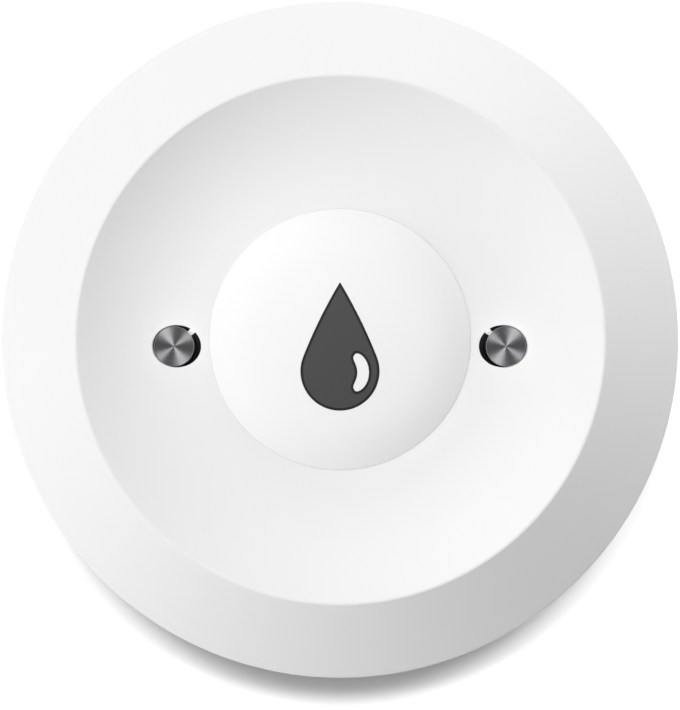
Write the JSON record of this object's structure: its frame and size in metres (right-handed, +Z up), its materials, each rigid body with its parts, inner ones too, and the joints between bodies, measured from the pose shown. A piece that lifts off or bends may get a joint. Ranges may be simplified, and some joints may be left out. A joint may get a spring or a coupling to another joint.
{
  "type": "water leak sensor",
  "caption": "Round flat water leak sensor with a concave drip dish, metal probes above and below, a domed push button and a twist-off battery door.",
  "frame": {"origin": "on the floor, under the middle of the round case, in the plane of the feet", "axes": "+Z up through the button, +Y towards the tip of the drop symbol, +X to its right"},
  "size_m": [0.06, 0.06, 0.0159],
  "materials": {
    "cover_plastic": "fine satin moulding, white",
    "case_plastic": "fine satin moulding, white",
    "button_plastic": "fine satin moulding, white",
    "symbol_plastic": "satin, dark grey",
    "probe_steel": "turned face with fine rings, polished side",
    "probe_seal_rubber": "matt black silicone",
    "clip_steel": "stamped spring steel",
    "contact_brass": "plated sheet brass",
    "seal_rubber": "matt black cord",
    "button_seal_rubber": "matt white silicone",
    "foot_rubber": "matt light grey silicone",
    "screw_steel": "zinc plated",
    "board_laminate": "green solder mask",
    "switch_plastic": "moulded, black",
    "chip_plastic": "moulded, black",
    "ceramic": "fired, pale",
    "crystal_steel": "nickel plated lid",
    "lamp_plastic": "clear resin in a white body",
    "cell_steel": "nickel plated"
  },
  "bodies": {
    "case": {"top_cover": "cover_plastic", "lower_case": "case_plastic", "drip_probe_left": "probe_steel", "drip_probe_right": "probe_steel", "floor_probe_left": "probe_steel", "floor_probe_right": "probe_steel", "drip_probe_seal_left": "probe_seal_rubber", "drip_probe_seal_right": "probe_seal_rubber", "floor_probe_seal_left": "probe_seal_rubber", "floor_probe_seal_right": "probe_seal_rubber", "drip_probe_clip_left": "clip_steel", "drip_probe_clip_right": "clip_steel", "floor_probe_clip_left": "clip_steel", "floor_probe_clip_right": "clip_steel", "drip_probe_contact_left": "contact_brass", "drip_probe_contact_right": "contact_brass", "floor_probe_contact_left": "contact_brass", "floor_probe_contact_right": "contact_brass", "positive_contact": "contact_brass", "negative_contact": "contact_brass", "case_seal": "seal_rubber", "foot_1": "foot_rubber", "foot_2": "foot_rubber", "foot_3": "foot_rubber", "case_screw_1": "screw_steel", "case_screw_2": "screw_steel", "case_screw_3": "screw_steel", "board_screw_1": "screw_steel", "board_screw_2": "screw_steel", "board_screw_3": "screw_steel", "circuit_board": "board_laminate", "switch_body": "switch_plastic", "radio_chip": "chip_plastic", "chip_antenna": "ceramic", "board_passives": "ceramic", "crystal": "crystal_steel", "status_lamp": "lamp_plastic", "coin_cell": "cell_steel"},
    "button": {"button_cap": "button_plastic", "drop_inlay": "symbol_plastic", "button_seal": "button_seal_rubber"},
    "plunger": {"switch_plunger": "switch_plastic"},
    "door": {"battery_door": "case_plastic", "door_seal": "seal_rubber"}
  },
  "joints": [
    {"name": "button_press", "type": "slide", "parent": "case", "child": "button", "axis": [0, 0, -1], "range_m": [0, 0.0003], "stiffness_N_per_m": 1500, "springref_m": -0.0005},
    {"name": "plunger_press", "type": "slide", "parent": "case", "child": "plunger", "axis": [0, 0, -1], "range_m": [0, 0.0003]},
    {"name": "battery_door_twist", "type": "hinge", "parent": "case", "child": "door", "pos_m": [0, 0, 0.001], "axis": [0, 0, -1], "range_deg": [0, 40]}
  ],
  "couplings": [
    {"joint": "plunger_press", "follows": "button_press", "ratio": 1}
  ]
}
